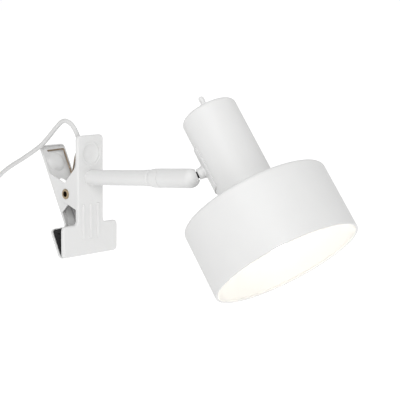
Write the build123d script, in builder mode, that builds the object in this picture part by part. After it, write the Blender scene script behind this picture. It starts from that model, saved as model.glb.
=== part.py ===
from build123d import *
import os
from math import acos, atan2, cos, degrees, pi, radians, sin

# Clip-on reading lamp, in millimetres.
# Origin: centre of the front jaw's rubber pad face, where the clip bites.
# +X runs along the arm towards the lamp head, +Y across the clip, +Z up.

# ---------------------------------------------------------------- driving dimensions
sheet = 1.0                     # wall of the pressed jaws, the cup and the saddle
pad_thickness = 3.1
front_face_x = sheet + pad_thickness

# pressed jaws; heights are counted from the pivot
pivot_depth = 18.0              # pivot axis behind a jaw's outer face
pivot_z = 41.0
jaw_top = 55.0
jaw_bottom = -56.0
shoulder = -27.0
front_width = 30.4
rear_width = 28.1               # the rear ears nest inside the front ones
foot_width = 64.5
flange = 3.4
bend_radius = 1.6
arm_hole_height = 16.0
arm_hole_radius = 5.2
dish_height = 38.3
dish_radius = 9.1
dish_depth = 1.6
dish_flat = 2.5                 # radius of its level floor
dish_step_radius = 11.4
dish_step = 0.5
rib_spacing = 8.7
rib_width = 3.4
rib_top = -8.0
rib_bottom = -41.5
rib_rise = 1.0
ear_radius = 8.2
ear_top = 26.5
ear_bottom = -12.9
closed_angle = 28.3             # between the two jaws, at rest

# hollow rivet and spring
rivet_radius = 3.5
rivet_bore = 2.7
rivet_head_radius = 4.8
rivet_head = 0.8
running = 0.05                  # radial clearance of the turning fits
wire = 1.4
coil_radius = 4.8
coil_end_y = 12.2
leg_radius = coil_radius + wire + 0.1   # the legs start clear of the coil's sleeve

# arm
arm_tilt = 6.0                  # arm's rise from square to the front jaw
tube_radius = 7.05
tube_wall = 1.0
tube_end = 74.8
nipple_radius = 5.0
nipple_bore = 3.2
nut_thickness = 3.2
washer_back = 2.9

# ball joint
joint_radius = 8.4
bush_end = 96.4
joint_gap = 0.35
spigot_radius = 5.0
ball_distance = 131.0
ball_radius = 7.0
neck_radius = 4.7               # of the collar, inside the slot
neck_flare = 5.2                # and where it meets the saddle
slot_clearance = 0.4
slot_start_angle = 44.0         # both slot angles are from the arm's axis
slot_end_angle = 84.3
stud_radius = 3.0
stud_bore = 1.8

# lamp head; heights are counted from the shade's opening
head_lean = 38.5                # head axis from vertical
stud_heading = 45.5             # stud from the vertical plane of the arm
ball_to_axis = 39.0
stud_height = 103.5
shade_radius = 65.0
shade_height = 61.6
shade_wall = 0.9
shade_corner = 3.2
rim_bead = 1.1
cup_radius = 25.0
cup_top = 150.4
cup_corner = 3.6
saddle_length = 41.0
saddle_wrap = 24.0
bush_radius = 5.3
bush_rise = 7.3
lever_tip = 15.3
lever_radius = 2.6
lever_lean = 9.0

# lead
cord_radius = 2.1
ring_radius = 25.8              # mean radius of the put-away coil
layer_step = 4.3                # from one layer of turns to the next
bundle_width = 25.6             # along the coil's axis
bundle_height = 8.7

os.makedirs("parts", exist_ok=True)


def write(piece, name):
    """Label a finished piece and write its STEP file."""
    piece.part.label = name
    export_step(piece.part, "parts/" + name + ".step")


# ---------------------------------------------------------------- reference planes
pivot = Vector(front_face_x - pivot_depth, 0, pivot_z)
across = Vector(0, 1, 0)
rear_out = Vector(-cos(radians(closed_angle)), 0, -sin(radians(closed_angle)))
rear_up = Vector(-sin(radians(closed_angle)), 0, cos(radians(closed_angle)))
front_jaw_plane = Plane(origin=(front_face_x, 0, pivot_z), x_dir=(0, 1, 0), z_dir=(1, 0, 0))
rear_jaw_plane = Plane(origin=pivot + rear_out * pivot_depth, x_dir=(0, -1, 0), z_dir=rear_out)

arm_dir = Vector(cos(radians(arm_tilt)), 0, sin(radians(arm_tilt)))
arm_root = Vector(front_face_x, 0, pivot_z + arm_hole_height)
arm = Plane(origin=arm_root, x_dir=(0, 1, 0), z_dir=arm_dir)
inner_face = Plane(origin=(front_face_x - sheet, 0, arm_root.Z), z_dir=(1, 0, 0))
outer_face = Plane(origin=(front_face_x, 0, arm_root.Z), z_dir=(1, 0, 0))

head_up = Vector(-sin(radians(head_lean)), 0, cos(radians(head_lean)))
head_level = Vector(cos(radians(head_lean)), 0, sin(radians(head_lean)))
stud_dir = head_level * cos(radians(stud_heading)) + across * sin(radians(stud_heading))
ball_centre = arm_root + arm_dir * ball_distance
axis_foot = ball_centre + stud_dir * ball_to_axis
head = Plane(origin=axis_foot - head_up * stud_height, x_dir=stud_dir, z_dir=head_up)
head_section = Plane(origin=head.origin, x_dir=head.x_dir, z_dir=head.y_dir * -1)
ball_plane = Plane(origin=ball_centre, x_dir=head_up, z_dir=stud_dir)
tilt_axis = arm_dir.cross(stud_dir).normalized()
tilt_plane = Plane(origin=ball_centre, x_dir=arm_dir, z_dir=tilt_axis)
rest_angle = degrees(acos(arm_dir.dot(stud_dir)))


# ---------------------------------------------------------------- clip
def pressed_jaw(face, width):
    """One jaw: a T-shaped stamping with a return flange, ribs, a thumb dish and two ears."""
    dish = Plane(origin=face.origin + face.y_dir * dish_height, x_dir=face.x_dir, z_dir=face.y_dir * -1)
    dish_floor = dish_step + dish_depth
    bump_radius = dish_radius + sheet / 2
    with BuildPart() as jaw:
        with BuildSketch(face):
            with BuildLine():
                Polyline(
                    (-width / 2, jaw_top),
                    (width / 2, jaw_top),
                    (width / 2, shoulder),
                    (foot_width / 2, shoulder),
                    (foot_width / 2, jaw_bottom),
                    (-foot_width / 2, jaw_bottom),
                    (-foot_width / 2, shoulder),
                    (-width / 2, shoulder),
                    close=True,
                )
            outline = make_face()
            fillet(outline.vertices(), radius=3.8)
        extrude(amount=-flange)
        front_edges = jaw.faces().sort_by(Axis(face.origin, face.z_dir))[-1].edges()
        fillet(front_edges, radius=bend_radius)
        back = jaw.faces().sort_by(Axis(face.origin, face.z_dir))[0]
        offset(amount=-sheet, openings=back)

        # thumb dish: a bump inside, then the dish and its step outside
        with BuildSketch(dish):
            with BuildLine():
                Polyline((0, -dish_floor - sheet), (0, -sheet / 2), (bump_radius, -sheet / 2),
                         (bump_radius, -sheet))
                Line((0, -dish_floor - sheet), (dish_flat, -dish_floor - sheet))
                TangentArc((dish_flat, -dish_floor - sheet), (bump_radius, -sheet), tangent=(1, 0))
            make_face()
        revolve(axis=Axis(dish.origin, face.z_dir))
        with BuildSketch(dish):
            with BuildLine():
                Polyline((0, 0), (dish_step_radius, 0), (dish_step_radius - 0.4, -dish_step),
                         (dish_radius, -dish_step))
                TangentArc((dish_flat, -dish_floor), (dish_radius, -dish_step), tangent=(1, 0))
                Polyline((dish_flat, -dish_floor), (0, -dish_floor), (0, 0))
            make_face()
        revolve(axis=Axis(dish.origin, face.z_dir), mode=Mode.SUBTRACT)

        # three ribs pressed outwards, hollow behind
        rib_middle = (rib_top + rib_bottom) / 2
        for step in (-1, 0, 1):
            with BuildSketch(face.offset(-sheet / 2)):
                with Locations((step * rib_spacing, rib_middle)):
                    SlotOverall(rib_top - rib_bottom, rib_width, rotation=90)
            extrude(amount=sheet / 2 + rib_rise, taper=30)
            with BuildSketch(face.offset(-sheet)):
                with Locations((step * rib_spacing, rib_middle)):
                    SlotOverall(rib_top - rib_bottom - 2, rib_width / 2, rotation=90)
            extrude(amount=rib_rise, mode=Mode.SUBTRACT)

        # arm hole
        with BuildSketch(face):
            with Locations((0, arm_hole_height)):
                Circle(arm_hole_radius)
        extrude(amount=-2 * sheet, mode=Mode.SUBTRACT)

        # ears with the pivot hole
        for side in (-1, 1):
            cheek = Plane(
                origin=face.origin + face.x_dir * (side * width / 2),
                x_dir=face.y_dir,
                z_dir=face.x_dir,
            )
            with BuildSketch(cheek):
                with Locations((0, -pivot_depth)):
                    Circle(ear_radius)
                with BuildLine():
                    Polyline(
                        (ear_bottom, -flange + 0.4),
                        (ear_top, -flange + 0.4),
                        (ear_top, -flange),
                        (ear_bottom, -flange),
                        close=True,
                    )
                make_face()
                make_hull()
                with Locations((0, -pivot_depth)):
                    Circle(rivet_radius + (running if width == rear_width else 0), mode=Mode.SUBTRACT)
            extrude(amount=-side * sheet)
    return jaw


front_jaw = pressed_jaw(front_jaw_plane, front_width)
write(front_jaw, "front_jaw")
rear_jaw = pressed_jaw(rear_jaw_plane, rear_width)
write(rear_jaw, "rear_jaw")


def jaw_pad(face):
    """Ribbed rubber pad that fills the hollow of a jaw's foot."""
    pad_width = foot_width - 2 * sheet - 1.4
    pad_height = shoulder - jaw_bottom - 2 * sheet - 1.4
    middle = (shoulder + jaw_bottom) / 2
    groove_count = 5
    with BuildPart() as pad:
        with BuildSketch(face.offset(-sheet)):
            with Locations((0, middle)):
                RectangleRounded(pad_width, pad_height, 2.6)
        extrude(amount=-pad_thickness)
        with BuildSketch(face.offset(-sheet - pad_thickness)):
            with Locations((0, middle)):
                with GridLocations(0, pad_height / (groove_count + 1), 1, groove_count):
                    Rectangle(pad_width - 6, 1.2)
        extrude(amount=0.7, mode=Mode.SUBTRACT)
    return pad


write(jaw_pad(front_jaw_plane), "front_pad")
write(jaw_pad(rear_jaw_plane), "rear_pad")

with BuildPart() as pivot_rivet:
    with BuildSketch(Plane(origin=pivot, x_dir=(1, 0, 0), z_dir=(0, 1, 0))):
        Circle(rivet_radius)
    extrude(amount=front_width / 2 + rivet_head, both=True)
    for side in (-1, 1):
        with BuildSketch(Plane(origin=pivot + across * (side * front_width / 2), z_dir=(0, side, 0))):
            Circle(rivet_head_radius)
        extrude(amount=rivet_head)
    rolled = pivot_rivet.edges().filter_by(GeomType.CIRCLE).group_by(SortBy.RADIUS)[-1]
    fillet(rolled.group_by(Axis.Y)[0] + rolled.group_by(Axis.Y)[-1], radius=0.6)
    with BuildSketch(Plane(origin=pivot, x_dir=(1, 0, 0), z_dir=(0, 1, 0))):
        Circle(rivet_bore)
    extrude(amount=front_width, both=True, mode=Mode.SUBTRACT)
write(pivot_rivet, "pivot_rivet")

# Torsion spring: its coil as a plain sleeve, a front leg at the near end, and a rear leg at
# the far end whose tip is bent across the rear jaw.
front_leg_foot = Vector(front_face_x - sheet - wire / 2, 0, pivot_z + 40)
rear_inner = pivot + rear_out * (pivot_depth - sheet - wire / 2)
rear_bar = rear_inner + rear_up * 50
end_turn = across * (coil_end_y - wire / 2)
bar_length = 17.7
with BuildPart() as torsion_spring:
    with BuildSketch(Plane(origin=pivot, x_dir=(1, 0, 0), z_dir=(0, 1, 0))):
        Circle(coil_radius + wire / 2)
        Circle(coil_radius - wire / 2, mode=Mode.SUBTRACT)
    extrude(amount=coil_end_y, both=True)
    reach = front_leg_foot - pivot
    tangent = degrees(atan2(reach.Z, reach.X)) + degrees(acos(leg_radius / reach.length))
    lift = Vector(cos(radians(tangent)), 0, sin(radians(tangent))) * leg_radius
    with BuildLine() as front_leg:
        Line(pivot + lift - end_turn, front_leg_foot - end_turn)
    with BuildSketch(Plane(origin=front_leg.line @ 0, z_dir=front_leg.line % 0)):
        Circle(wire / 2)
    sweep(path=front_leg.line)
    with BuildLine() as rear_leg:
        FilletPolyline(
            pivot + rear_out * leg_radius + end_turn,
            rear_inner + rear_up * 14 + end_turn,
            rear_bar + end_turn,
            rear_bar + end_turn - across * bar_length,
            radius=[6, 2.5],
        )
    with BuildSketch(Plane(origin=rear_leg.line @ 0, z_dir=rear_leg.line % 0)):
        Circle(wire / 2)
    sweep(path=rear_leg.line)
write(torsion_spring, "torsion_spring")

# ---------------------------------------------------------------- arm
with BuildPart() as arm_tube:
    with BuildSketch(arm.offset(-2)):
        Circle(tube_radius)
        Circle(tube_radius - tube_wall, mode=Mode.SUBTRACT)
    extrude(amount=tube_end + 2)
    split(bisect_by=outer_face, keep=Keep.TOP)
write(arm_tube, "arm_tube")

with BuildPart() as arm_insert:
    with BuildSketch(arm.offset(1.2)):
        Circle(tube_radius - tube_wall)
        Circle(nipple_radius, mode=Mode.SUBTRACT)
    extrude(amount=10)
write(arm_insert, "arm_insert")

nipple_back = washer_back + nut_thickness + 2.4
with BuildPart() as arm_nipple:
    with BuildSketch(arm.offset(-nipple_back)):
        Circle(nipple_radius)
        Circle(nipple_bore, mode=Mode.SUBTRACT)
    extrude(amount=nipple_back + 11)
    chamfer(arm_nipple.edges().filter_by(GeomType.CIRCLE).group_by(SortBy.RADIUS)[-1], length=0.5)
write(arm_nipple, "arm_nipple")

with BuildPart() as wedge_washer:
    with BuildSketch(arm.offset(-washer_back)):
        Circle(8.2)
        Circle(nipple_radius + 0.2, mode=Mode.SUBTRACT)
    extrude(amount=washer_back + 2)
    split(bisect_by=inner_face, keep=Keep.BOTTOM)
write(wedge_washer, "wedge_washer")

with BuildPart() as arm_nut:
    with BuildSketch(arm.offset(-washer_back - nut_thickness)):
        RegularPolygon(radius=7.0, side_count=6, major_radius=False)
        Circle(nipple_radius, mode=Mode.SUBTRACT)
    extrude(amount=nut_thickness)
write(arm_nut, "arm_nut")

# two insulated cores that run through the arm
with BuildPart() as arm_wires:
    with BuildSketch(arm.offset(-nipple_back + 0.5)):
        with GridLocations(0, 2.2, 1, 2):
            Circle(0.95)
    extrude(amount=nipple_back + 108)
write(arm_wires, "arm_wires")

# ---------------------------------------------------------------- ball joint
with BuildPart() as arm_bush:
    with BuildSketch(Plane(origin=arm.origin, x_dir=arm.x_dir, z_dir=arm.y_dir * -1)):
        with BuildLine():
            Polyline(
                (3.4, tube_end - 8),
                (tube_radius - tube_wall, tube_end - 8),
                (tube_radius - tube_wall, tube_end),
                (tube_radius + 0.3, tube_end),
                (tube_radius + 0.3, tube_end + 7.6),
                (tube_radius, tube_end + 8.0),
                (tube_radius, tube_end + 9.0),
                (joint_radius - 0.7, tube_end + 10.0),
                (joint_radius - 0.2, tube_end + 11.2),
                (joint_radius, tube_end + 13.0),
                (joint_radius, bush_end - 0.4),
                (joint_radius - 0.4, bush_end),
                (spigot_radius, bush_end),
                (spigot_radius, bush_end + 6.4),
                (3.4, bush_end + 6.4),
                close=True,
            )
        make_face()
    revolve(axis=Axis(arm.origin, arm.z_dir))
write(arm_bush, "arm_bush")

clip_start = bush_end + 4.3
with BuildPart() as swivel_clip:
    with BuildSketch(arm.offset(clip_start)):
        Circle(6.6)
        Circle(spigot_radius, mode=Mode.SUBTRACT)
    extrude(amount=1.0)
write(swivel_clip, "swivel_clip")

socket_start = bush_end + joint_gap
with BuildPart() as joint_socket:
    with BuildSketch(Plane(origin=arm.origin, x_dir=arm.x_dir, z_dir=arm.y_dir * -1)):
        with BuildLine():
            Polyline(
                (spigot_radius + running, socket_start),
                (joint_radius - 0.4, socket_start),
                (joint_radius, socket_start + 0.4),
                (joint_radius, ball_distance),
            )
            RadiusArc((joint_radius, ball_distance), (0, ball_distance + joint_radius), -joint_radius)
            Line((0, ball_distance + joint_radius), (0, ball_distance + ball_radius + running))
            RadiusArc(
                (0, ball_distance + ball_radius + running),
                (ball_radius + running, ball_distance),
                ball_radius + running,
            )
            Polyline(
                (ball_radius + running, ball_distance),
                (ball_radius + running, clip_start - 0.3),
                (spigot_radius + running, clip_start - 0.3),
                (spigot_radius + running, socket_start),
            )
        make_face()
    revolve(axis=Axis(arm.origin, arm.z_dir))
    # slot that lets the stud tilt, out to nearly square to the arm
    slot_radius = neck_radius + slot_clearance
    reach = 2 * joint_radius
    slot_ends = [
        Vector(cos(radians(angle)), sin(radians(angle))) * reach
        for angle in (slot_start_angle, slot_end_angle)
    ]
    with BuildSketch(tilt_plane):
        with BuildLine():
            Polyline((0, 0), *slot_ends, close=True)
        make_face()
    extrude(amount=slot_radius, both=True, mode=Mode.SUBTRACT)
    for angle in (slot_start_angle, slot_end_angle):
        direction = arm_dir.rotate(Axis((0, 0, 0), tilt_axis), angle)
        with BuildSketch(Plane(origin=ball_centre, z_dir=direction)):
            Circle(slot_radius)
        extrude(amount=reach, mode=Mode.SUBTRACT)
write(joint_socket, "joint_socket")

seat_start = ball_distance - 11.5
with BuildPart() as ball_seat:
    with BuildSketch(Plane(origin=arm.origin, x_dir=arm.x_dir, z_dir=arm.y_dir * -1)):
        with Locations((5.2, seat_start + 3.5)):
            Rectangle(3.4, 7)
        with Locations((0, ball_distance)):
            Circle(ball_radius + running, mode=Mode.SUBTRACT)
    revolve(axis=Axis(arm.origin, arm.z_dir))
write(ball_seat, "ball_seat")

# spring washers, stacked face to back between the swivel clip and the seat
washer_count = 8
washer_start = bush_end + 6.7
washer_pitch = (seat_start - washer_start - 0.1) / washer_count
with BuildPart() as spring_washers:
    for step in range(washer_count):
        base = washer_start + step * washer_pitch
        rise = (washer_pitch - 0.7) * (1 if step % 2 == 0 else -1)
        low = base if rise > 0 else base - rise
        with BuildSketch(Plane(origin=arm.origin, x_dir=arm.x_dir, z_dir=arm.y_dir * -1)):
            with BuildLine():
                Polyline((3.6, low + rise), (6.7, low), (6.7, low + 0.6), (3.6, low + rise + 0.6), close=True)
            make_face()
        revolve(axis=Axis(arm.origin, arm.z_dir))
write(spring_washers, "spring_washers")

# ball and hollow threaded stud in one turned piece
saddle_face = cup_radius + sheet + 1.0
neck_end = ball_to_axis - saddle_face - 0.1
stud_end = ball_to_axis - 18.9
with BuildPart() as ball_stud:
    with BuildSketch(Plane(origin=ball_centre, x_dir=head_up, z_dir=stud_dir.cross(head_up))):
        with BuildLine():
            CenterArc((0, 0), ball_radius, 0, 180)
            Line((-ball_radius, 0), (ball_radius, 0))
        make_face()
    revolve(axis=Axis(ball_centre, head_up))
    with BuildSketch(ball_plane):
        Circle(stud_radius)
    extrude(amount=stud_end)
    with BuildSketch(ball_plane):
        Circle(stud_bore)
    extrude(amount=2 * ball_to_axis, both=True, mode=Mode.SUBTRACT)
write(ball_stud, "ball_stud")

# flared collar between the ball and the saddle
collar_start = ball_radius + 0.4
with BuildPart() as neck_collar:
    with BuildSketch(ball_plane.offset(collar_start)):
        Circle(neck_radius)
    with BuildSketch(ball_plane.offset(neck_end - 1.6)):
        Circle(neck_flare)
    loft()
    with BuildSketch(ball_plane.offset(neck_end - 1.6)):
        Circle(neck_flare)
    extrude(amount=1.6)
    with BuildSketch(ball_plane):
        Circle(stud_radius + running)
    extrude(amount=ball_to_axis, mode=Mode.SUBTRACT)
write(neck_collar, "neck_collar")

backing_face = cup_radius - sheet - 1.8
with BuildPart() as stud_nut:
    with BuildSketch(ball_plane.offset(ball_to_axis - backing_face + 0.1)):
        RegularPolygon(radius=4.8, side_count=6, major_radius=False)
        Circle(stud_radius, mode=Mode.SUBTRACT)
    extrude(amount=3.0)
write(stud_nut, "stud_nut")

# ---------------------------------------------------------------- lamp head
stud_hole = ball_plane.offset(ball_to_axis - saddle_face - 5)
with BuildPart() as saddle_plate:
    with BuildSketch(head.offset(stud_height - saddle_length / 2)):
        with BuildLine():
            outer = CenterArc((0, 0), cup_radius + sheet, 180 - saddle_wrap, 2 * saddle_wrap)
            inner = CenterArc((0, 0), cup_radius, 180 - saddle_wrap, 2 * saddle_wrap)
            Line(outer @ 0, inner @ 0)
            Line(outer @ 1, inner @ 1)
        make_face()
    extrude(amount=saddle_length)
    corner_edges = saddle_plate.edges().filter_by(GeomType.LINE).filter_by(
        lambda edge: abs(edge.length - sheet) < 0.01
    )
    fillet(corner_edges, radius=3)
    with BuildSketch(ball_plane.offset(ball_to_axis - saddle_face)):
        Circle(5.8)
    extrude(amount=saddle_face - cup_radius, mode=Mode.ADD)
    with BuildSketch(head):
        Circle(cup_radius)
    extrude(amount=cup_top, mode=Mode.SUBTRACT)
    with BuildSketch(stud_hole):
        Circle(stud_radius + running)
    extrude(amount=20, mode=Mode.SUBTRACT)
write(saddle_plate, "saddle_plate")

with BuildPart() as lamp_cup:
    with BuildSketch(head.offset(shade_height)):
        Circle(cup_radius)
    extrude(amount=cup_top - shade_height)
    top_face = lamp_cup.faces().sort_by(Axis(head.origin, head_up))[-1]
    fillet(top_face.edges(), radius=cup_corner)
    offset(amount=-sheet, openings=lamp_cup.faces().sort_by(Axis(head.origin, head_up))[0])
    with BuildSketch(head.offset(cup_top - 5)):
        Circle(bush_radius)
    extrude(amount=10, mode=Mode.SUBTRACT)
    with BuildSketch(stud_hole):
        Circle(stud_radius + running)
    extrude(amount=20, mode=Mode.SUBTRACT)
write(lamp_cup, "lamp_cup")

# backing block inside the cup that gives the stud nut a flat seat
with BuildPart() as backing_block:
    with BuildSketch(head.offset(stud_height - 7)):
        Circle(cup_radius - sheet)
        with Locations((cup_radius - backing_face, 0)):
            Rectangle(2 * cup_radius, 2 * cup_radius, mode=Mode.SUBTRACT)
    extrude(amount=14)
    with BuildSketch(stud_hole):
        Circle(stud_radius + running)
    extrude(amount=20, mode=Mode.SUBTRACT)
write(backing_block, "backing_block")

with BuildPart() as shade:
    with BuildSketch(head_section):
        with BuildLine():
            Line((20.4, shade_height), (shade_radius - shade_corner, shade_height))
            RadiusArc(
                (shade_radius - shade_corner, shade_height),
                (shade_radius, shade_height - shade_corner),
                shade_corner,
            )
            Line((shade_radius, shade_height - shade_corner), (shade_radius, 0))
            Line((shade_radius, 0), (shade_radius - 2 * rim_bead, 0))
            Line((shade_radius - 2 * rim_bead, 0), (shade_radius - 2 * rim_bead, 1.6))
            Line((shade_radius - 2 * rim_bead, 1.6), (shade_radius - shade_wall, 2.4))
            Line((shade_radius - shade_wall, 2.4), (shade_radius - shade_wall, shade_height - shade_corner))
            RadiusArc(
                (shade_radius - shade_wall, shade_height - shade_corner),
                (shade_radius - shade_corner, shade_height - shade_wall),
                -shade_corner + shade_wall,
            )
            Line((shade_radius - shade_corner, shade_height - shade_wall), (20.4, shade_height - shade_wall))
            Line((20.4, shade_height - shade_wall), (20.4, shade_height))
        make_face()
    revolve(axis=Axis(head.origin, head_up))
    rim = shade.faces().sort_by(Axis(head.origin, head_up))[0]
    fillet(rim.edges(), radius=0.7)
write(shade, "shade")

# lampholder: skirt below the shade's plate, narrower body above it
holder_bottom = 54.0
holder_step = 76.0
holder_top = 108.0
shell_bottom = 74.5
with BuildPart() as lampholder:
    with BuildSketch(head_section):
        with BuildLine():
            Polyline(
                (18.0, holder_bottom),
                (20.0, holder_bottom),
                (20.0, shade_height),
                (23.0, shade_height),
                (23.0, holder_step),
                (15.6, holder_step),
                (15.6, holder_top),
                (0, holder_top),
                (0, holder_top - 4),
                (14.3, holder_top - 4),
                (14.3, shell_bottom - 1),
                (18.0, shell_bottom - 1),
                close=True,
            )
        make_face()
    revolve(axis=Axis(head.origin, head_up))
write(lampholder, "lampholder")

# knurled ring that clamps the shade to the lampholder's skirt
with BuildPart() as shade_ring:
    ring_top = shade_height - shade_wall
    with BuildSketch(head.offset(ring_top - 6)):
        Circle(25.6)
        with PolarLocations(26.4, 36):
            Circle(1.1, mode=Mode.SUBTRACT)
        Circle(20.05, mode=Mode.SUBTRACT)
    extrude(amount=6)
write(shade_ring, "shade_ring")


def ridged_wall(inner, crest, low, turns, pitch):
    """Half section of a thin wall with round thread ridges, from low upwards."""
    points = [(inner, low)]
    for turn in range(turns):
        base = low + turn * pitch
        points.append((crest - 0.7, base))
        points.append((crest, base + pitch * 0.35))
        points.append((crest, base + pitch * 0.65))
    points.append((crest - 0.7, low + turns * pitch))
    points.append((inner, low + turns * pitch))
    return points


with BuildPart() as screw_shell:
    with BuildSketch(head.offset(shell_bottom)):
        Circle(14.3)
        Circle(13.75, mode=Mode.SUBTRACT)
    extrude(amount=25)
write(screw_shell, "screw_shell")

contact_height = 101.2
with BuildPart() as centre_contact:
    with BuildSketch(Plane(origin=head.origin - head.y_dir * 3, x_dir=head.x_dir, z_dir=head.y_dir)):
        with BuildLine():
            Polyline(
                (-8, -holder_top + 4),
                (-8, -holder_top + 4.6),
                (0, -contact_height),
                (5, -contact_height - 0.8),
                (5, -contact_height - 1.4),
                (0, -contact_height - 0.6),
                (-7, -holder_top + 4),
                close=True,
            )
        make_face()
    extrude(amount=6)
write(centre_contact, "centre_contact")

cap_bottom = 76.0
cap_top = 97.0
with BuildPart() as bulb_cap:
    with BuildSketch(head_section):
        with BuildLine():
            Polyline(*ridged_wall(12.2, 13.4, cap_bottom, 6, (cap_top - cap_bottom) / 6), close=True)
        make_face()
    revolve(axis=Axis(head.origin, head_up))
write(bulb_cap, "bulb_cap")

with BuildPart() as bulb_tip:
    with BuildSketch(head_section):
        with BuildLine():
            Polyline(
                (0, cap_top - 1),
                (12.2, cap_top - 1),
                (12.2, cap_top),
                (5.2, cap_top + 3),
                (4.6, contact_height - 0.5),
                (0, contact_height),
                close=True,
            )
        make_face()
    revolve(axis=Axis(head.origin, head_up))
write(bulb_tip, "bulb_tip")

globe_radius = 22.5
globe_height = 38.0
globe_shoulder = 70.0
with BuildPart() as bulb_globe:
    with BuildSketch(head_section):
        join_angle = radians(52)
        join = (globe_radius * cos(join_angle), globe_height + globe_radius * sin(join_angle))
        with BuildLine():
            ThreePointArc((0, globe_height - globe_radius), (globe_radius, globe_height), join)
            Spline(
                join,
                (12.2, globe_shoulder + 4),
                tangents=[(-sin(join_angle), cos(join_angle)), (0, 1)],
            )
            Line((12.2, globe_shoulder + 4), (12.2, cap_bottom + 4))
            Line((12.2, cap_bottom + 4), (0, cap_bottom + 4))
            Line((0, cap_bottom + 4), (0, globe_height - globe_radius))
        make_face()
    revolve(axis=Axis(head.origin, head_up))
write(bulb_globe, "bulb_globe")

# strap that hangs the lampholder from the switch's bush
strap_width = 11.0
strap_half = 13.5
with BuildPart() as holder_strap:
    strap_plane = Plane(origin=head.origin - head.x_dir * strap_width / 2, x_dir=head.y_dir, z_dir=head.x_dir)
    with BuildSketch(strap_plane):
        with BuildLine():
            FilletPolyline(
                (-strap_half + 7.5, holder_top + sheet / 2),
                (-strap_half, holder_top + sheet / 2),
                (-strap_half, cup_top - 1.5 * sheet),
                (strap_half, cup_top - 1.5 * sheet),
                (strap_half, holder_top + sheet / 2),
                (strap_half - 7.5, holder_top + sheet / 2),
                radius=2.2,
            )
        trace(line_width=sheet)
    extrude(amount=strap_width)
    with BuildSketch(head.offset(cup_top - 6)):
        Circle(bush_radius)
    extrude(amount=10, mode=Mode.SUBTRACT)
write(holder_strap, "holder_strap")

with BuildPart() as strap_screws:
    for side in (-1, 1):
        screw_at = head.origin + head.y_dir * (side * (strap_half - 4.6)) + head_up * (holder_top + sheet)
        with BuildSketch(Plane(origin=screw_at, x_dir=head.x_dir, z_dir=head_up)):
            Circle(2.4)
        extrude(amount=1.6)
        with BuildSketch(Plane(origin=screw_at + head_up * 1.6, x_dir=head.x_dir, z_dir=head_up)):
            Rectangle(3.8, 0.7)
        extrude(amount=-0.8, mode=Mode.SUBTRACT)
write(strap_screws, "strap_screws")

with BuildPart() as terminal_screws:
    for side in (-1, 1):
        screw_at = head.origin + head.x_dir * (side * 10.5) + head_up * holder_top
        with BuildSketch(Plane(origin=screw_at, x_dir=head.y_dir, z_dir=head_up)):
            Circle(2.2)
        extrude(amount=2.0)
        with BuildSketch(Plane(origin=screw_at + head_up * 2.0, x_dir=head.y_dir, z_dir=head_up)):
            Rectangle(3.4, 0.7)
        extrude(amount=-0.8, mode=Mode.SUBTRACT)
write(terminal_screws, "terminal_screws")

# ---------------------------------------------------------------- switch
switch_bottom = 126.0
lever_pivot = cup_top + 1.0
with BuildPart() as switch_body:
    with BuildSketch(head.offset(switch_bottom)):
        RectangleRounded(17.0, 13.0, 1.5)
    extrude(amount=cup_top - 2 * sheet - switch_bottom)
    with BuildSketch(head.offset(cup_top - 2 * sheet)):
        Circle(bush_radius)
    extrude(amount=2 * sheet + bush_rise)
    with BuildSketch(head.offset(lever_pivot - 3.4)):
        Rectangle(6.0, 7.6)
    extrude(amount=20, mode=Mode.SUBTRACT)
write(switch_body, "switch_body")

with BuildPart() as switch_nut:
    with BuildSketch(head.offset(cup_top)):
        Circle(8.0)
        with PolarLocations(8.6, 24):
            Circle(0.9, mode=Mode.SUBTRACT)
        Circle(bush_radius, mode=Mode.SUBTRACT)
    extrude(amount=2.6)
write(switch_nut, "switch_nut")

lever_base = head.origin + head_up * lever_pivot
lever_dir = head_up.rotate(Axis((0, 0, 0), head.x_dir), lever_lean)
lever_plane = Plane(origin=lever_base, x_dir=head.x_dir, z_dir=lever_dir)
lever_length = lever_tip + cup_top - lever_pivot
with BuildPart() as switch_lever:
    with BuildSketch(Plane(origin=lever_base, x_dir=head.x_dir, z_dir=lever_plane.y_dir * -1)):
        with BuildLine():
            Line((0, -1.8), (1.8, -1.8))
            Line((1.8, -1.8), (1.8, 2.0))
            Line((1.8, 2.0), (lever_radius, lever_length - lever_radius))
            RadiusArc((lever_radius, lever_length - lever_radius), (0, lever_length), -lever_radius)
            Line((0, lever_length), (0, -1.8))
        make_face()
    revolve(axis=Axis(lever_base, lever_dir))
write(switch_lever, "switch_lever")

# cores from the stud's bore to the switch, and from the switch to the lampholder
with BuildPart() as head_wires:
    for side in (-1, 1):
        base = head.origin + head.y_dir * (side * 1.0)
        with BuildLine() as core:
            FilletPolyline(
                base - head.x_dir * 18.7 + head_up * stud_height,
                base - head.x_dir * 17.2 + head_up * (stud_height + 0.6),
                base - head.x_dir * 17.0 + head_up * (stud_height + 9.0) + head.y_dir * side,
                base - head.x_dir * 14.0 + head_up * (stud_height + 17.0) + head.y_dir * side * 2,
                base - head.x_dir * 6.5 + head_up * (switch_bottom - 0.9) + head.y_dir * side * 2,
                radius=[0.6, 4, 2.5],
            )
        with BuildSketch(Plane(origin=core.line @ 0, z_dir=core.line % 0)):
            Circle(0.8)
        sweep(path=core.line)
    with BuildLine() as return_core:
        FilletPolyline(
            head.origin + head.x_dir * 6.0 + head_up * switch_bottom,
            head.origin + head.x_dir * 6.5 + head_up * (switch_bottom - 6),
            head.origin + head.x_dir * 10.0 + head_up * (holder_top + 7),
            head.origin + head.x_dir * 10.6 + head_up * (holder_top + 2.4),
            radius=3,
        )
    with BuildSketch(Plane(origin=return_core.line @ 0, z_dir=return_core.line % 0)):
        Circle(0.8)
    sweep(path=return_core.line)
write(head_wires, "head_wires")

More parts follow.
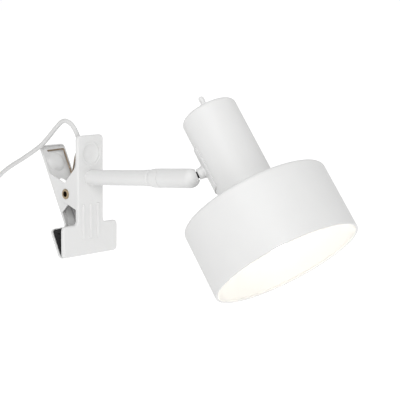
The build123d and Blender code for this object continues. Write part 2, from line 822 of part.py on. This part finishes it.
# ---------------------------------------------------------------- lead
nipple_end = arm_root - arm_dir * nipple_back
boot_corner = nipple_end - arm_dir * 10.0
boot_end = Vector(-15.9, -2.0, 66.4)
with BuildPart() as cord_boot:
    with BuildLine() as boot_line:
        FilletPolyline(nipple_end, boot_corner, boot_end, radius=8.5)
    with BuildSketch(Plane(origin=boot_line.line @ 0, z_dir=boot_line.line % 0)):
        Circle(4.0)
    with BuildSketch(Plane(origin=boot_line.line @ 1, z_dir=boot_line.line % 1)):
        Circle(2.7)
    sweep(path=boot_line.line, multisection=True)
write(cord_boot, "cord_boot")

cord_route = [
    boot_end,
    Vector(-14.4, -4.2, 74.4),
    Vector(-8.6, -7.0, 83.4),
    Vector(-4.1, -9.6, 93.2),
    Vector(-6.0, -12.0, 102.0),
    Vector(-11.0, -14.2, 109.0),
    Vector(-17.6, -16.2, 109.6),
    Vector(-23.8, -17.8, 102.2),
    Vector(-31.4, -18.9, 94.4),
    Vector(-42.6, -19.6, 84.6),
    Vector(-56.4, -20.0, 76.6),
    Vector(-74.0, -20.0, 67.6),
    Vector(-92.4, -19.8, 59.2),
    Vector(-112.4, -19.5, 47.8),
    Vector(-128.0, -19.2, 32.4),
    Vector(-136.4, -19.0, 12.6),
    Vector(-139.0, -20.4, -4.0),
    Vector(-144.6, -24.4, -18.0),
    Vector(-156.0, -28.2, -27.6),
]
ring_centre = Vector(-161.0, -18.0, -54.0)


def corner_radii(route):
    """Arc at each corner: 0.45 of the shorter run over the tangent of half the turn."""
    radii = []
    for before, here, after in zip(route, route[1:], route[2:]):
        turn = radians((here - before).get_angle(after - here))
        shorter = min((here - before).length, (after - here).length)
        radii.append(0.45 * shorter / abs(sin(turn / 2) / cos(turn / 2)))
    return radii


with BuildPart() as cord_lead:
    with BuildLine() as lead_line:
        FilletPolyline(*cord_route, radius=corner_radii(cord_route))
    with BuildSketch(Plane(origin=lead_line.line @ 0, z_dir=lead_line.line % 0)):
        Circle(cord_radius)
    sweep(path=lead_line.line)
write(cord_lead, "cord_lead")

with BuildPart() as cord_coil:
    with BuildSketch(Plane(origin=ring_centre, x_dir=(1, 0, 0), z_dir=(0, 0, 1))):
        with Locations((ring_radius, 0)):
            RectangleRounded(bundle_height, bundle_width, 2.0)
    revolve(axis=Axis(ring_centre, (0, 1, 0)))
write(cord_coil, "cord_coil")

tie_angle = radians(118)
tie_middle = ring_centre + Vector(cos(tie_angle), 0, sin(tie_angle)) * ring_radius
tie_along = Vector(-sin(tie_angle), 0, cos(tie_angle))
with BuildPart() as cord_tie:
    with BuildSketch(Plane(origin=tie_middle - tie_along * 3.5, x_dir=(0, 1, 0), z_dir=tie_along)):
        RectangleRounded(bundle_width + 2.4, bundle_height + 2.4, 2.8)
        RectangleRounded(bundle_width - 0.8, bundle_height - 0.8, 1.8, mode=Mode.SUBTRACT)
    extrude(amount=7)
write(cord_tie, "cord_tie")

tail_top = ring_centre - Vector(ring_radius + layer_step / 2, 5.9, 0)
tail_end = tail_top - Vector(0, 0, 36)
with BuildPart() as cord_tail:
    with BuildSketch(Plane(origin=tail_end, x_dir=(1, 0, 0), z_dir=(0, 0, 1))):
        Circle(cord_radius)
    extrude(amount=34)
write(cord_tail, "cord_tail")

# flat two-pin plug, pins downwards
plug_sleeve = 14.0
plug_height = 24.0
plug_width = 35.0
plug_thickness = 13.6
pin_spacing = 18.6
pin_length = 19.0
pin_radius = 2.0
plug_top = tail_end - Vector(0, 0, plug_sleeve)
plug_face = plug_top - Vector(0, 0, plug_height)
with BuildPart() as plug_body:
    with BuildSketch(Plane(origin=tail_end, x_dir=(0, 1, 0), z_dir=(0, 0, -1))):
        Circle(3.2)
    with BuildSketch(Plane(origin=plug_top, x_dir=(0, 1, 0), z_dir=(0, 0, -1))):
        Circle(5.2)
    loft()
    with BuildSketch(Plane(origin=plug_top, x_dir=(0, 1, 0), z_dir=(0, 0, -1))):
        RectangleRounded(15.0, 11.4, 4.5)
    with BuildSketch(Plane(origin=plug_face, x_dir=(0, 1, 0), z_dir=(0, 0, -1))):
        RectangleRounded(plug_width, plug_thickness, 4.5)
    loft()
write(plug_body, "plug_body")

with BuildPart() as plug_pins:
    with BuildSketch(Plane(origin=plug_face, x_dir=(0, 1, 0), z_dir=(0, 0, -1))):
        with GridLocations(pin_spacing, 0, 2, 1):
            Circle(pin_radius)
    extrude(amount=pin_length)
    fillet(plug_pins.faces().group_by(Axis.Z)[0].edges(), radius=1.2)
write(plug_pins, "plug_pins")
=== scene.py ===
import bpy
from math import acos, atan2, cos, pi, radians, sin
from mathutils import Matrix, Vector


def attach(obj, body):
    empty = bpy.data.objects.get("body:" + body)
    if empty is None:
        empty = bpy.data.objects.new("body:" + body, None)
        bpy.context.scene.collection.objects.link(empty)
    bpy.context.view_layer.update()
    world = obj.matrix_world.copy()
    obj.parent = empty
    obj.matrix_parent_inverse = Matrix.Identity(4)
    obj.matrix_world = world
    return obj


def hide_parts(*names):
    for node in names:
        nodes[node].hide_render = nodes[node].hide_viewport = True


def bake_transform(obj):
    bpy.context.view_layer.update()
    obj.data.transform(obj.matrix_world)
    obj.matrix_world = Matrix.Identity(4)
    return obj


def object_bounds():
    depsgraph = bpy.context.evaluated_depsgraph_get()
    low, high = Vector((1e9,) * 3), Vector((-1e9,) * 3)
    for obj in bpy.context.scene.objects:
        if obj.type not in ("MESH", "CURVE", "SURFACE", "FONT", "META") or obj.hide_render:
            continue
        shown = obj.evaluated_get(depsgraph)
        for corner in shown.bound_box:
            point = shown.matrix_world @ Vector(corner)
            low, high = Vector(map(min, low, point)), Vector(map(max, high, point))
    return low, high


# Clip-on reading lamp: cord, spring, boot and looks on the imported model.
# Metres. +X runs along the arm towards the lamp head, +Y across the clip, +Z up.

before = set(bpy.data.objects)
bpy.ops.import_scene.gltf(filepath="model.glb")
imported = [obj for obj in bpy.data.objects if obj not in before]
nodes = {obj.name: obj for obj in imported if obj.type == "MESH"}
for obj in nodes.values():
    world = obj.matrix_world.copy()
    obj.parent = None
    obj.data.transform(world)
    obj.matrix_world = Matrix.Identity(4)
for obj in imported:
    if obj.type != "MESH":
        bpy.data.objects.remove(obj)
cad_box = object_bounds()
MM = 0.001


def mm(x, y, z):
    """A point given in millimetres, in metres."""
    return Vector((x, y, z)) * MM


# ---------------------------------------------------------------- stage
FLOOR = cad_box[0][2] - 0.0004
FLOOR_REACH = 30.0
FLOOR_GLOW = 0.95
HORIZON_LIGHT = 1.02            # the studio sky at the horizon
TOP_LIGHT = 0.75                # the same sky overhead
SKY_FALL = (0.03, 0.14)         # heights between which it falls from one to the other
LEFT_LIGHT = 0.4                # the sky's share at the camera's left
LEFT_START = 0.15               # how far to the left it starts to dim
CAMERA_PLACE = mm(851.878, -705.693, 217.196)
CAMERA_HEADING = radians(45)
CAMERA_DROP = radians(9.3)      # how far it looks down
CAMERA_ROLL = radians(0.71)
LENS = 108.76
SENSOR_WIDTH = 36
HEAD = Vector((0.2, 0.03, 0.07))
CLIP = Vector((0, 0, 0.05))
HEAD_LIGHT_REACH = 0.9
CLIP_LIGHT_REACH = 0.7


def link(obj):
    bpy.context.scene.collection.objects.link(obj)
    return obj


def camera():
    """A long lens at 45 degrees to the arm, looking a little down and rolled a little."""
    data = bpy.data.cameras.new("camera")
    data.lens = LENS
    data.sensor_width = SENSOR_WIDTH
    data.clip_start = 0.05
    obj = link(bpy.data.objects.new("camera", data))
    obj.location = CAMERA_PLACE
    ahead, down = cos(CAMERA_DROP), sin(CAMERA_DROP)
    forward = Vector((-cos(CAMERA_HEADING) * ahead, sin(CAMERA_HEADING) * ahead, -down))
    level = Vector((sin(CAMERA_HEADING), cos(CAMERA_HEADING), 0))
    upright = level.cross(forward)
    right = level * cos(CAMERA_ROLL) + upright * sin(CAMERA_ROLL)
    up = upright * cos(CAMERA_ROLL) - level * sin(CAMERA_ROLL)
    obj.rotation_euler = Matrix((right, up, -forward)).transposed().to_euler()
    bpy.context.scene.camera = obj


def area_light(name, place, target, size, power, spread=180):
    """A round soft light aimed at a point, with its beam's width in degrees."""
    data = bpy.data.lights.new(name, "AREA")
    data.shape = "DISK"
    data.size = size
    data.energy = power
    data.spread = radians(spread)
    obj = link(bpy.data.objects.new(name, data))
    obj.location = Vector(place)
    obj.visible_camera = False
    look = (Vector(target) - obj.location).to_track_quat("-Z", "Y")
    obj.rotation_euler = look.to_euler()


def sky():
    """White at the horizon, dimmer overhead and to the camera's left."""
    scene = bpy.context.scene
    scene.view_settings.view_transform = "Standard"
    world = bpy.data.worlds.new("studio")
    scene.world = world
    world.use_nodes = True
    tree = world.node_tree
    background = tree.nodes["Background"]
    direction = tree.nodes.new("ShaderNodeTexCoord")
    split = tree.nodes.new("ShaderNodeSeparateXYZ")
    tree.links.new(direction.outputs["Generated"], split.inputs["Vector"])
    fall = tree.nodes.new("ShaderNodeValToRGB")
    lights = (HORIZON_LIGHT, TOP_LIGHT)
    for element, height, light in zip(fall.color_ramp.elements, SKY_FALL, lights):
        element.position = height
        element.color = (light, light, light, 1)
    tree.links.new(split.outputs["Z"], fall.inputs["Fac"])
    tree.links.new(fall.outputs["Color"], background.inputs["Color"])

    leftward = tree.nodes.new("ShaderNodeVectorMath")
    leftward.operation = "DOT_PRODUCT"
    leftward.inputs[1].default_value = (-sin(CAMERA_HEADING), -cos(CAMERA_HEADING), 0)
    tree.links.new(direction.outputs["Generated"], leftward.inputs[0])
    dimmer = tree.nodes.new("ShaderNodeMapRange")
    dimmer.inputs["From Min"].default_value = LEFT_START
    dimmer.inputs["To Min"].default_value = 1.0
    dimmer.inputs["To Max"].default_value = LEFT_LIGHT
    tree.links.new(leftward.outputs["Value"], dimmer.inputs["Value"])
    tree.links.new(dimmer.outputs["Result"], background.inputs["Strength"])


def floor():
    mesh = bpy.data.meshes.new("floor")
    reach = FLOOR_REACH
    corners = [(-reach, -reach), (reach, -reach), (reach, reach), (-reach, reach)]
    mesh.from_pydata([(x, y, FLOOR) for x, y in corners], [], [(0, 1, 2, 3)])
    sheet = link(bpy.data.objects.new("floor", mesh))
    paper = new_material("floor_paper", (0.25, 0.25, 0.25), roughness=0.9)
    glow(paper, (1, 1, 1), FLOOR_GLOW)
    mesh.materials.append(paper)


def studio():
    """White world, pale floor and four soft lights."""
    sky()
    floor()
    key = HEAD + Vector((0.58, -0.7, 0.45)) * HEAD_LIGHT_REACH
    right = HEAD + Vector((0.5, 0.8, 0.25)) * HEAD_LIGHT_REACH
    clip_side = CLIP + Vector((0.25, -0.7, 0.66)) * CLIP_LIGHT_REACH
    area_light("key", key, HEAD, size=0.4, power=2.6)
    area_light("right", right, HEAD, size=0.4, power=0.3)
    area_light("clip_side", clip_side, CLIP, size=0.25, power=0.45, spread=120)
    area_light("rim", (-1.1, 0.8, 0.9), CLIP, size=0.8, power=0.5)


# ---------------------------------------------------------------- materials
COAT_ROUGHNESS = 0.1
NOISE_DETAIL = 4
BUMP_DETAIL = 3
BUMP_HEIGHT = 0.0002
TINT_RANGE = (0.3, 0.7)         # the part of the noise that changes the colour
BULB_LIGHT = (1.0, 0.94, 0.84)
BULB_POWER = 5.2

LOOKS = {
    "white_paint": dict(
        colour=(0.66, 0.66, 0.656), roughness=0.5, spread=0.05, grain=60, bump=0.06,
        bump_grain=1400, tint=0.008,
    ),
    "black_rubber": dict(
        colour=(0.018, 0.018, 0.019), roughness=0.72, spread=0.1, bump=0.35,
        bump_grain=1600, tint=0.15,
    ),
    "brass": dict(
        colour=(0.36, 0.28, 0.18), roughness=0.3, metallic=1.0, spread=0.08, bump=0.05,
        tint=0.06,
    ),
    "spring_steel": dict(
        colour=(0.26, 0.2, 0.145), roughness=0.33, metallic=1.0, spread=0.1, bump=0.06,
        tint=0.12,
    ),
    "zinc_steel": dict(
        colour=(0.66, 0.67, 0.68), roughness=0.34, metallic=1.0, spread=0.1, bump=0.06,
        tint=0.05,
    ),
    # near-black on the ball stud and its nut is painted shade: it makes the gap inside the ball
    # joint read dark
    "dark_steel": dict(
        colour=(0.035, 0.034, 0.036), roughness=0.5, metallic=0.3, spread=0.08, bump=0.05,
        tint=0.1,
    ),
    "white_plastic": dict(
        colour=(0.7, 0.7, 0.696), roughness=0.42, spread=0.07, bump=0.12, tint=0.012,
    ),
    "white_cable": dict(
        colour=(0.57, 0.57, 0.566), roughness=0.5, spread=0.05, grain=120, bump=0.01,
        tint=0.008,
    ),
    "wire_cores": dict(
        colour=(0.32, 0.2, 0.12), roughness=0.5, spread=0.08, bump=0.1, tint=0.08,
    ),
    "porcelain": dict(
        colour=(0.86, 0.85, 0.82), roughness=0.16, spread=0.05, bump=0.03, coat=0.3,
        tint=0.01,
    ),
    "bulb_glass": dict(
        colour=(0.95, 0.93, 0.9), roughness=0.2, spread=0.04, tint=0.01,
    ),
    "bulb_insulator": dict(
        colour=(0.05, 0.045, 0.06), roughness=0.25, spread=0.06, bump=0.04, tint=0.1,
    ),
}


def new_material(name, colour, roughness, metallic=0.0, spread=0.06, grain=180.0, bump=0.0,
                 bump_grain=900.0, coat=0.0, tint=0.02):
    """A principled surface whose roughness, colour and height vary a little with noise."""
    material = bpy.data.materials.new(name)
    material.use_nodes = True
    tree = material.node_tree
    shader = tree.nodes["Principled BSDF"]
    shader.inputs["Metallic"].default_value = metallic
    shader.inputs["Coat Weight"].default_value = coat
    shader.inputs["Coat Roughness"].default_value = COAT_ROUGHNESS
    place = tree.nodes.new("ShaderNodeTexCoord")
    noise = tree.nodes.new("ShaderNodeTexNoise")
    noise.inputs["Scale"].default_value = grain
    noise.inputs["Detail"].default_value = NOISE_DETAIL
    tree.links.new(place.outputs["Object"], noise.inputs["Vector"])
    rough = tree.nodes.new("ShaderNodeMapRange")
    rough.inputs["To Min"].default_value = roughness - spread
    rough.inputs["To Max"].default_value = roughness + spread
    tree.links.new(noise.outputs["Fac"], rough.inputs["Value"])
    tree.links.new(rough.outputs["Result"], shader.inputs["Roughness"])
    ramp = tree.nodes.new("ShaderNodeValToRGB")
    shades = (1 - tint, 1 + tint)
    for element, position, shade in zip(ramp.color_ramp.elements, TINT_RANGE, shades):
        element.position = position
        element.color = (*[min(1, c * shade) for c in colour], 1)
    tree.links.new(noise.outputs["Fac"], ramp.inputs["Fac"])
    tree.links.new(ramp.outputs["Color"], shader.inputs["Base Color"])
    if bump:
        fine = tree.nodes.new("ShaderNodeTexNoise")
        fine.inputs["Scale"].default_value = bump_grain
        fine.inputs["Detail"].default_value = BUMP_DETAIL
        tree.links.new(place.outputs["Object"], fine.inputs["Vector"])
        height = tree.nodes.new("ShaderNodeBump")
        height.inputs["Strength"].default_value = bump
        height.inputs["Distance"].default_value = BUMP_HEIGHT
        tree.links.new(fine.outputs["Fac"], height.inputs["Height"])
        tree.links.new(height.outputs["Normal"], shader.inputs["Normal"])
    return material


def glow(material, colour, power):
    shader = material.node_tree.nodes["Principled BSDF"]
    shader.inputs["Emission Color"].default_value = (*colour, 1)
    shader.inputs["Emission Strength"].default_value = power


def make_looks():
    """One material for each slot of the record."""
    looks = {slot: new_material("look_" + slot, **look) for slot, look in LOOKS.items()}
    glow(looks["bulb_glass"], BULB_LIGHT, BULB_POWER)
    return looks


def dress(obj, look):
    obj.data.materials.clear()
    obj.data.materials.append(look)


# ---------------------------------------------------------------- shape helpers
PER_TURN = 20
# a spline of order 3 runs this much inside a circle of control points
INSIDE = cos(pi / PER_TURN)


def curve_object(name, controls, radius, resolution=12, sides=6):
    """A round cord or wire on one NURBS spline through its control points."""
    data = bpy.data.curves.new(name, "CURVE")
    data.dimensions = "3D"
    data.bevel_depth = radius
    data.bevel_resolution = sides
    data.resolution_u = resolution
    data.use_fill_caps = True
    spline = data.splines.new("NURBS")
    spline.points.add(len(controls) - 1)
    for point, control in zip(spline.points, controls):
        point.co = (*control, 1)
    spline.order_u = 3
    spline.use_endpoint_u = True
    return link(bpy.data.objects.new(name, data))


def to_mesh(obj):
    """The same object as a smooth mesh."""
    name = obj.name
    bpy.context.view_layer.update()
    depsgraph = bpy.context.evaluated_depsgraph_get()
    mesh = bpy.data.meshes.new_from_object(obj.evaluated_get(depsgraph))
    bpy.data.objects.remove(obj)
    mesh.name = name
    smooth(mesh)
    return link(bpy.data.objects.new(name, mesh))


def smooth(mesh):
    mesh.polygons.foreach_set("use_smooth", [True] * len(mesh.polygons))
    mesh.update()


def tube(name, path, radii, sides=32):
    """A closed round tube along path, with its own radius at each point."""
    verts, faces = [], []
    count = len(path)
    side = None
    for i, (here, radius) in enumerate(zip(path, radii)):
        ahead = (path[min(i + 1, count - 1)] - path[max(i - 1, 0)]).normalized()
        side = ahead.orthogonal() if side is None else side - ahead * side.dot(ahead)
        side.normalize()
        other = ahead.cross(side)
        for k in range(sides):
            angle = 2 * pi * k / sides
            verts.append(here + (side * cos(angle) + other * sin(angle)) * radius)
    for i in range(count - 1):
        for k in range(sides):
            a, b = i * sides + k, i * sides + (k + 1) % sides
            faces.append((a, b, b + sides, a + sides))
    faces.append(tuple(reversed(range(sides))))
    faces.append(tuple(range((count - 1) * sides, count * sides)))
    mesh = bpy.data.meshes.new(name)
    mesh.from_pydata(verts, [], faces)
    smooth(mesh)
    return link(bpy.data.objects.new(name, mesh))


# ---------------------------------------------------------------- cord
CORD_RADIUS = 2.1 * MM
BOOT_END = mm(-15.9, -2.0, 66.4)
LEAD = [
    BOOT_END,
    mm(-13.6, -3.4, 73.4),
    mm(-7.2, -5.2, 80.6),
    mm(-3.4, -7.4, 89.0),
    mm(-3.0, -10.2, 97.6),
    mm(-7.2, -13.4, 106.8),
    mm(-15.6, -16.0, 109.8),
    mm(-23.8, -17.8, 102.2),
    mm(-31.4, -18.9, 94.4),
    mm(-42.6, -19.6, 84.6),
    mm(-56.4, -20.0, 76.6),
    mm(-74.0, -20.0, 67.6),
    mm(-92.4, -19.8, 59.2),
    mm(-112.4, -19.5, 47.8),
    mm(-128.0, -19.2, 32.4),
    mm(-136.4, -19.0, 12.6),
    mm(-139.0, -20.4, -4.0),
    mm(-144.6, -24.4, -18.0),
    mm(-156.0, -28.2, -27.6),
]
RING_CENTRE = mm(-161.0, -18.0, -54.0)
RING_RADIUS = 25.8 * MM
LAYER_STEP = 4.3 * MM
BUNDLE_WIDTH = 25.6 * MM
END_GAP = 0.1 * MM
ENTRY_TURN = 0.25               # the quarter turn in which the lead joins the inner layer
INNER_TURNS = 5
OUTER_TURNS = 4
CLIMB_RATE = 5                  # it climbs to the outer layer in a fifth of a turn
TAIL_SIDE = 5.9 * MM
TAIL_DROPS = (6, 18, 36.5)


def coil_turns():
    """Control points of two layers of turns: out along the inner one, back along the outer."""
    inner = (RING_RADIUS - LAYER_STEP / 2) / INSIDE
    outer = (RING_RADIUS + LAYER_STEP / 2) / INSIDE
    span = BUNDLE_WIDTH - 2 * CORD_RADIUS - END_GAP
    step = span / INNER_TURNS
    points = []
    for i in range(1, round((ENTRY_TURN + INNER_TURNS + OUTER_TURNS) * PER_TURN) + 1):
        turn = i / PER_TURN
        angle = pi / 2 + 2 * pi * turn
        back = turn - ENTRY_TURN - INNER_TURNS
        if turn < ENTRY_TURN:
            radius = outer + (inner - outer) * turn / ENTRY_TURN
            along = -span / 2
        elif back < 0:
            radius = inner
            along = -span / 2 + (turn - ENTRY_TURN) * step
        else:
            radius = inner + (outer - inner) * min(1, back * CLIMB_RATE)
            along = span / 2 - back * step
        points.append(RING_CENTRE + Vector((cos(angle) * radius, along, sin(angle) * radius)))
    return points


def make_cord(looks):
    """The lead, its tied coil and its tail, as one spline."""
    tail_top = RING_CENTRE - Vector((RING_RADIUS + LAYER_STEP / 2, TAIL_SIDE, 0))
    tail = [tail_top - Vector((0, 0, drop * MM)) for drop in TAIL_DROPS]
    cord = curve_object("cord", LEAD + coil_turns() + tail, CORD_RADIUS)
    dress(cord, looks["white_cable"])
    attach(cord, "clip_front")
    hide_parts("cord_lead", "cord_coil", "cord_tail")


# ---------------------------------------------------------------- boot
BOOT_START = mm(-4.35, 0, 56.11)
BOOT_CORNER = mm(-14.3, 0, 55.07)
BOOT_WIDE = 4.0                 # its radius at the arm, in millimetres
BOOT_NARROW = 2.7               # and at the cord
BOOT_STEPS = 140
BOOT_RIBS = 7
GROOVE_DEPTH = 0.55
GROOVE_RANGE = (0.12, 0.96)     # the part of its length that has grooves


def make_boot(looks):
    """Tapered strain relief with ribs, from the arm's threaded end to the cord."""
    path, radii = [], []
    for i in range(BOOT_STEPS + 1):
        t = i / BOOT_STEPS
        path.append(BOOT_START * (1 - t) ** 2 + BOOT_CORNER * 2 * t * (1 - t) + BOOT_END * t**2)
        taper = BOOT_WIDE + (BOOT_NARROW - BOOT_WIDE) * t
        groove = max(0, sin(2 * pi * BOOT_RIBS * t - pi / 2)) ** 0.5
        grooved = GROOVE_RANGE[0] < t < GROOVE_RANGE[1]
        radii.append((taper - GROOVE_DEPTH * groove * grooved) * MM)
    boot = tube("cord_boot_ribbed", path, radii)
    dress(boot, looks["white_plastic"])
    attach(boot, "clip_front")
    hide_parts("cord_boot")


# ---------------------------------------------------------------- spring
WIRE_RADIUS = 0.7 * MM
COIL_RADIUS = 4.8 * MM
COIL_END = 11.5 * MM            # from the middle to either end turn
COIL_TURNS = 15
PIVOT = mm(-13.9, 0, 41.0)
CLOSED = radians(28.3)
REAR_OUT = Vector((-cos(CLOSED), 0, -sin(CLOSED)))
REAR_UP = Vector((-sin(CLOSED), 0, cos(CLOSED)))
FACE_OUT = 14.8 * MM            # from the pivot out to the rear leg, beside the jaw's face
KNEE_UP = 14 * MM
TOP_UP = 49.6 * MM
TIP_OUT = 1.4 * MM
TIP_ACROSS = 17.7 * MM
KNEE_BEND = 4 * MM              # the leg's bend starts this far from its knee
TOP_BEND = 2.2 * MM
FRONT_KNEE = mm(-8.0, 0, 62)
FRONT_LEG = [FRONT_KNEE, mm(-4.2, 0, 76), mm(-0.2, 0, 84), mm(2.2, 0, 88)]
FAR = Vector((0, COIL_END, 0))
NEAR = Vector((0, -COIL_END, 0))


def tangent_angle(target, turn):
    """Angle on the coil where a straight leg to target leaves it; turn is +1 or -1."""
    reach = target - PIVOT
    return atan2(reach.z, reach.x) + turn * acos(COIL_RADIUS / reach.length)


def around(angle):
    """A point on the coil's circle in the plane of its middle turn."""
    return PIVOT + Vector((cos(angle) * COIL_RADIUS, 0, sin(angle) * COIL_RADIUS))


def make_rear_leg(looks, knee, leave_angle):
    """The leg that pushes the rear jaw, with its end bent across."""
    leave = around(leave_angle)
    top = PIVOT + REAR_OUT * FACE_OUT + REAR_UP * TOP_UP
    tip = top + REAR_OUT * TIP_OUT - Vector((0, TIP_ACROSS, 0))
    leg = [
        leave,
        leave.lerp(knee, 0.5),
        knee + (leave - knee).normalized() * KNEE_BEND,
        knee,
        knee + REAR_UP * KNEE_BEND,
        knee.lerp(top, 0.5),
        top - REAR_UP * TOP_BEND,
        top,
        top.lerp(tip, 0.12),
        top.lerp(tip, 0.5),
        tip,
    ]
    rear = to_mesh(curve_object("spring_rear_leg", [p + FAR for p in leg], WIRE_RADIUS))
    dress(rear, looks["spring_steel"])
    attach(rear, "clip_rear")
    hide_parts("torsion_spring")


def make_coil(looks, rear_leave):
    """The spring's turns and its front leg."""
    front_leave = tangent_angle(FRONT_KNEE, 1)
    sweep = (rear_leave - front_leave) % (2 * pi) + 2 * pi * COIL_TURNS
    count = round(sweep / (2 * pi) * PER_TURN)
    controls = []
    for i in range(count + 1):
        part = i / count
        centre = PIVOT + FAR.lerp(NEAR, part)
        out = around(rear_leave - sweep * part) - PIVOT
        controls.append(centre + out / INSIDE)
    controls.append(controls[-1].lerp(FRONT_KNEE + NEAR, 0.4))
    controls += [p + NEAR for p in FRONT_LEG]
    coil = to_mesh(curve_object("spring_coil", controls, WIRE_RADIUS, resolution=5, sides=4))
    dress(coil, looks["spring_steel"])
    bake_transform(coil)
    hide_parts("torsion_spring")


def make_spring(looks):
    """Torsion spring: a leg on each jaw and the coil between them."""
    knee = PIVOT + REAR_OUT * FACE_OUT + REAR_UP * KNEE_UP
    rear_leave = tangent_angle(knee, -1)
    make_rear_leg(looks, knee, rear_leave)
    make_coil(looks, rear_leave)


# ---------------------------------------------------------------- build
camera()
studio()
looks = make_looks()
for node in nodes.values():
    for index, old in enumerate(node.data.materials):
        node.data.materials[index] = looks[old.name.split(".")[0]]
make_cord(looks)
make_boot(looks)
make_spring(looks)
